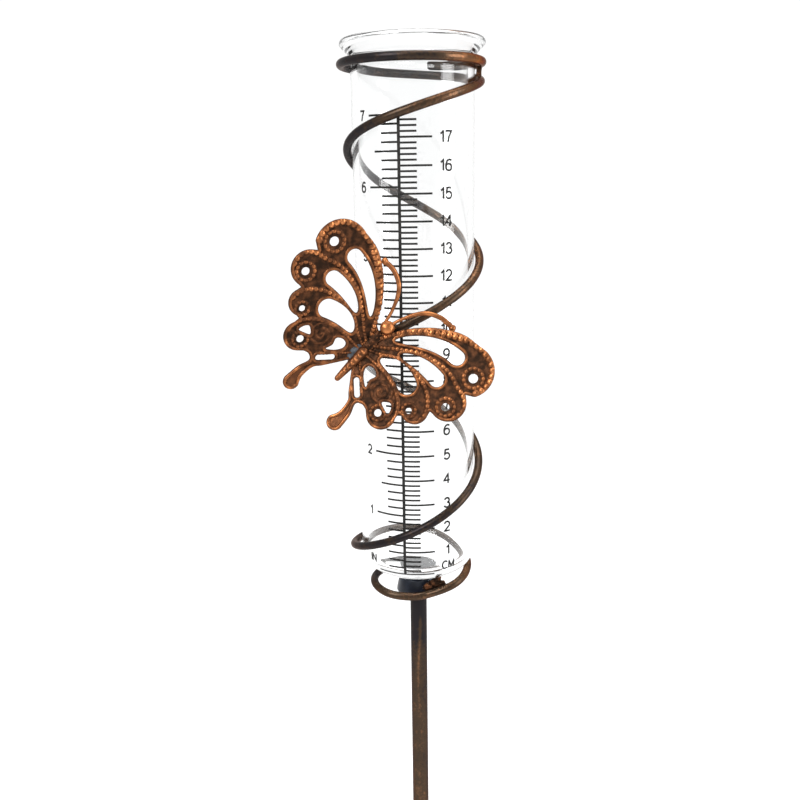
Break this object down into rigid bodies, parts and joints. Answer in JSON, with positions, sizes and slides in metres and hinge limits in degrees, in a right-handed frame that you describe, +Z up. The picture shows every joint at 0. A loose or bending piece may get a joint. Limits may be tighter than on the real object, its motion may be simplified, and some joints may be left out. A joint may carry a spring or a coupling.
{
  "type": "manual rain gauge",
  "caption": "Glass rain measuring tube that lifts out of a spiral wire holder on a two-piece push-in garden stake, with a pierced metal butterfly.",
  "frame": {"origin": "centre of the flat end of the stake's point, on the stake's and the tube's common axis", "axes": "+Z up along the stake and the glass tube, -Y is the front, where the butterfly is"},
  "size_m": [0.0773, 0.0749, 0.766],
  "materials": {
    "clear_glass": "clear, polished",
    "black_rubber": "satin black",
    "black_steel": "satin black",
    "dark_bronze": "dark bronze with rubbed copper highlights",
    "antique_copper": "antique copper, dark in the recesses"
  },
  "bodies": {
    "lower_stake": {"stake_point": "dark_bronze", "lower_stake_tube": "dark_bronze", "joint_spigot": "black_steel"},
    "holder": {"upper_stake_tube": "dark_bronze", "stake_head": "black_steel", "rest_pad": "black_rubber", "spiral_wire": "dark_bronze", "stake_head_weld": "antique_copper", "top_ring_weld": "antique_copper", "butterfly_weld": "antique_copper", "left_wing": "antique_copper", "right_wing": "antique_copper", "left_antenna": "antique_copper", "right_antenna": "antique_copper", "butterfly_thorax": "antique_copper", "butterfly_head": "antique_copper", "butterfly_abdomen": "antique_copper"},
    "measuring_tube": {"glass_tube": "clear_glass"}
  },
  "joints": [
    {"name": "stake_pull_apart", "type": "slide", "parent": "lower_stake", "child": "holder", "axis": [0, 0, 1], "range_m": [0, 0.05]},
    {"name": "tube_lift", "type": "slide", "parent": "holder", "child": "measuring_tube", "axis": [0, 0, 1], "range_m": [0, 0.24]}
  ]
}
